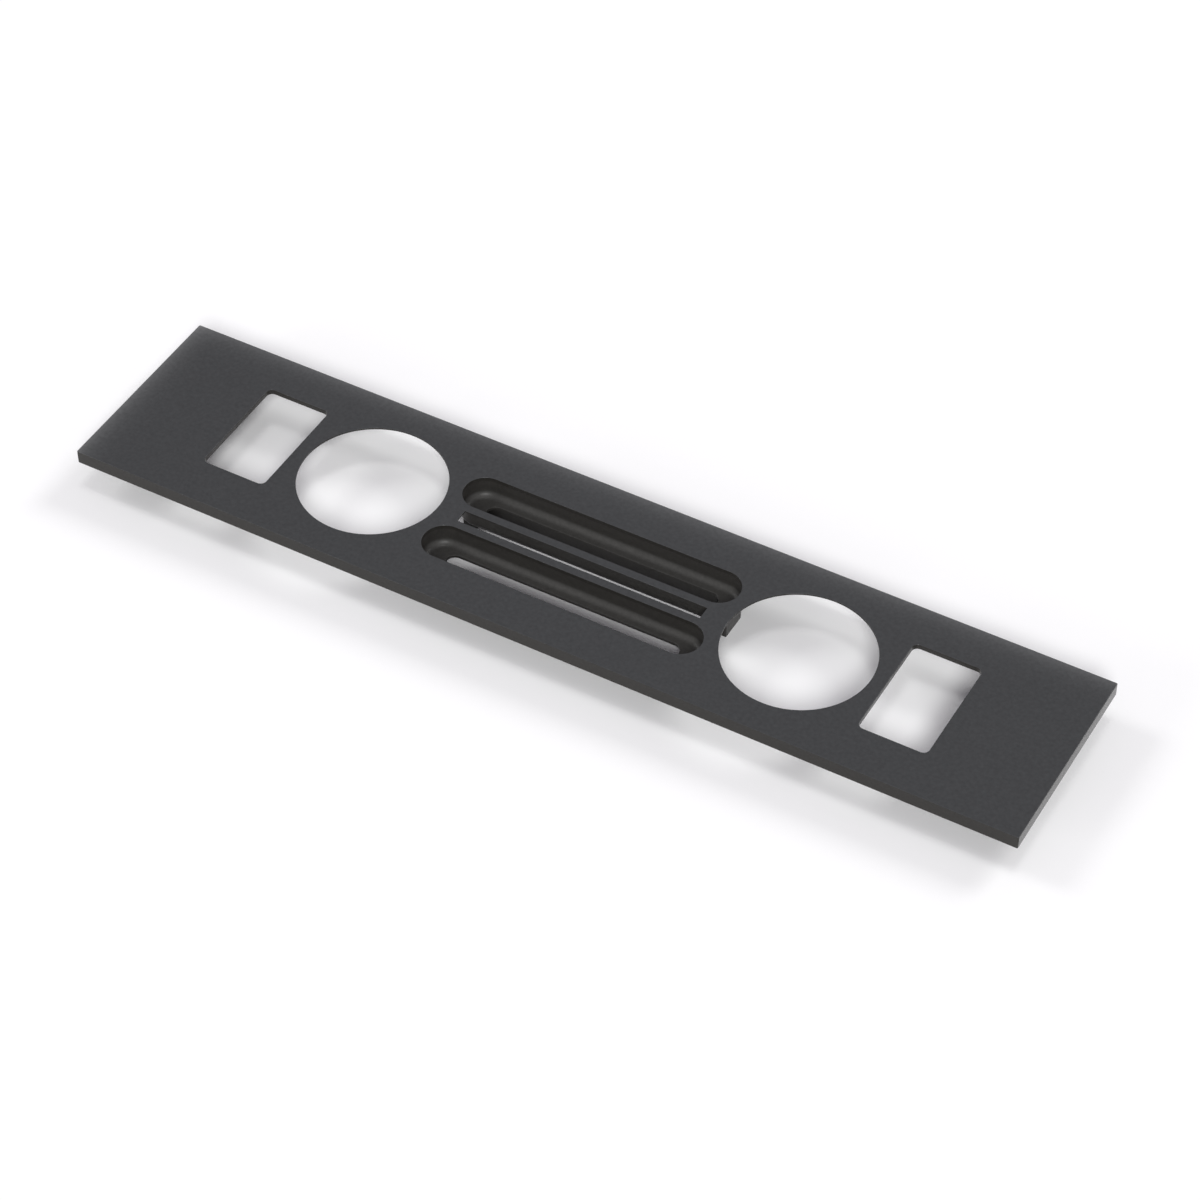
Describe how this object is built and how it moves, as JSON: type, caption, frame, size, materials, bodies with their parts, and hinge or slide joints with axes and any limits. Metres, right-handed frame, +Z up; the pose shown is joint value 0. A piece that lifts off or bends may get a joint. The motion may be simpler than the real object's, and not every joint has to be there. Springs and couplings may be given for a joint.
{
  "type": "control panel bezel",
  "caption": "Flat oblong control panel bezel with a low rim, round dial holes, rounded switch windows, coved finger troughs with lever slots, and a narrow light slit between them.",
  "frame": {"origin": "centre of the plate's outline in plan, at the foot of the guide ribs that the part rests on", "axes": "+X along the plate to the right, +Y across it to the back edge, +Z up out of the face"},
  "size_m": [0.245, 0.052, 0.0115],
  "materials": {
    "black_plastic": "fine moulded grain, matte"
  },
  "bodies": {
    "root": {"bezel": "black_plastic"}
  },
  "joints": []
}
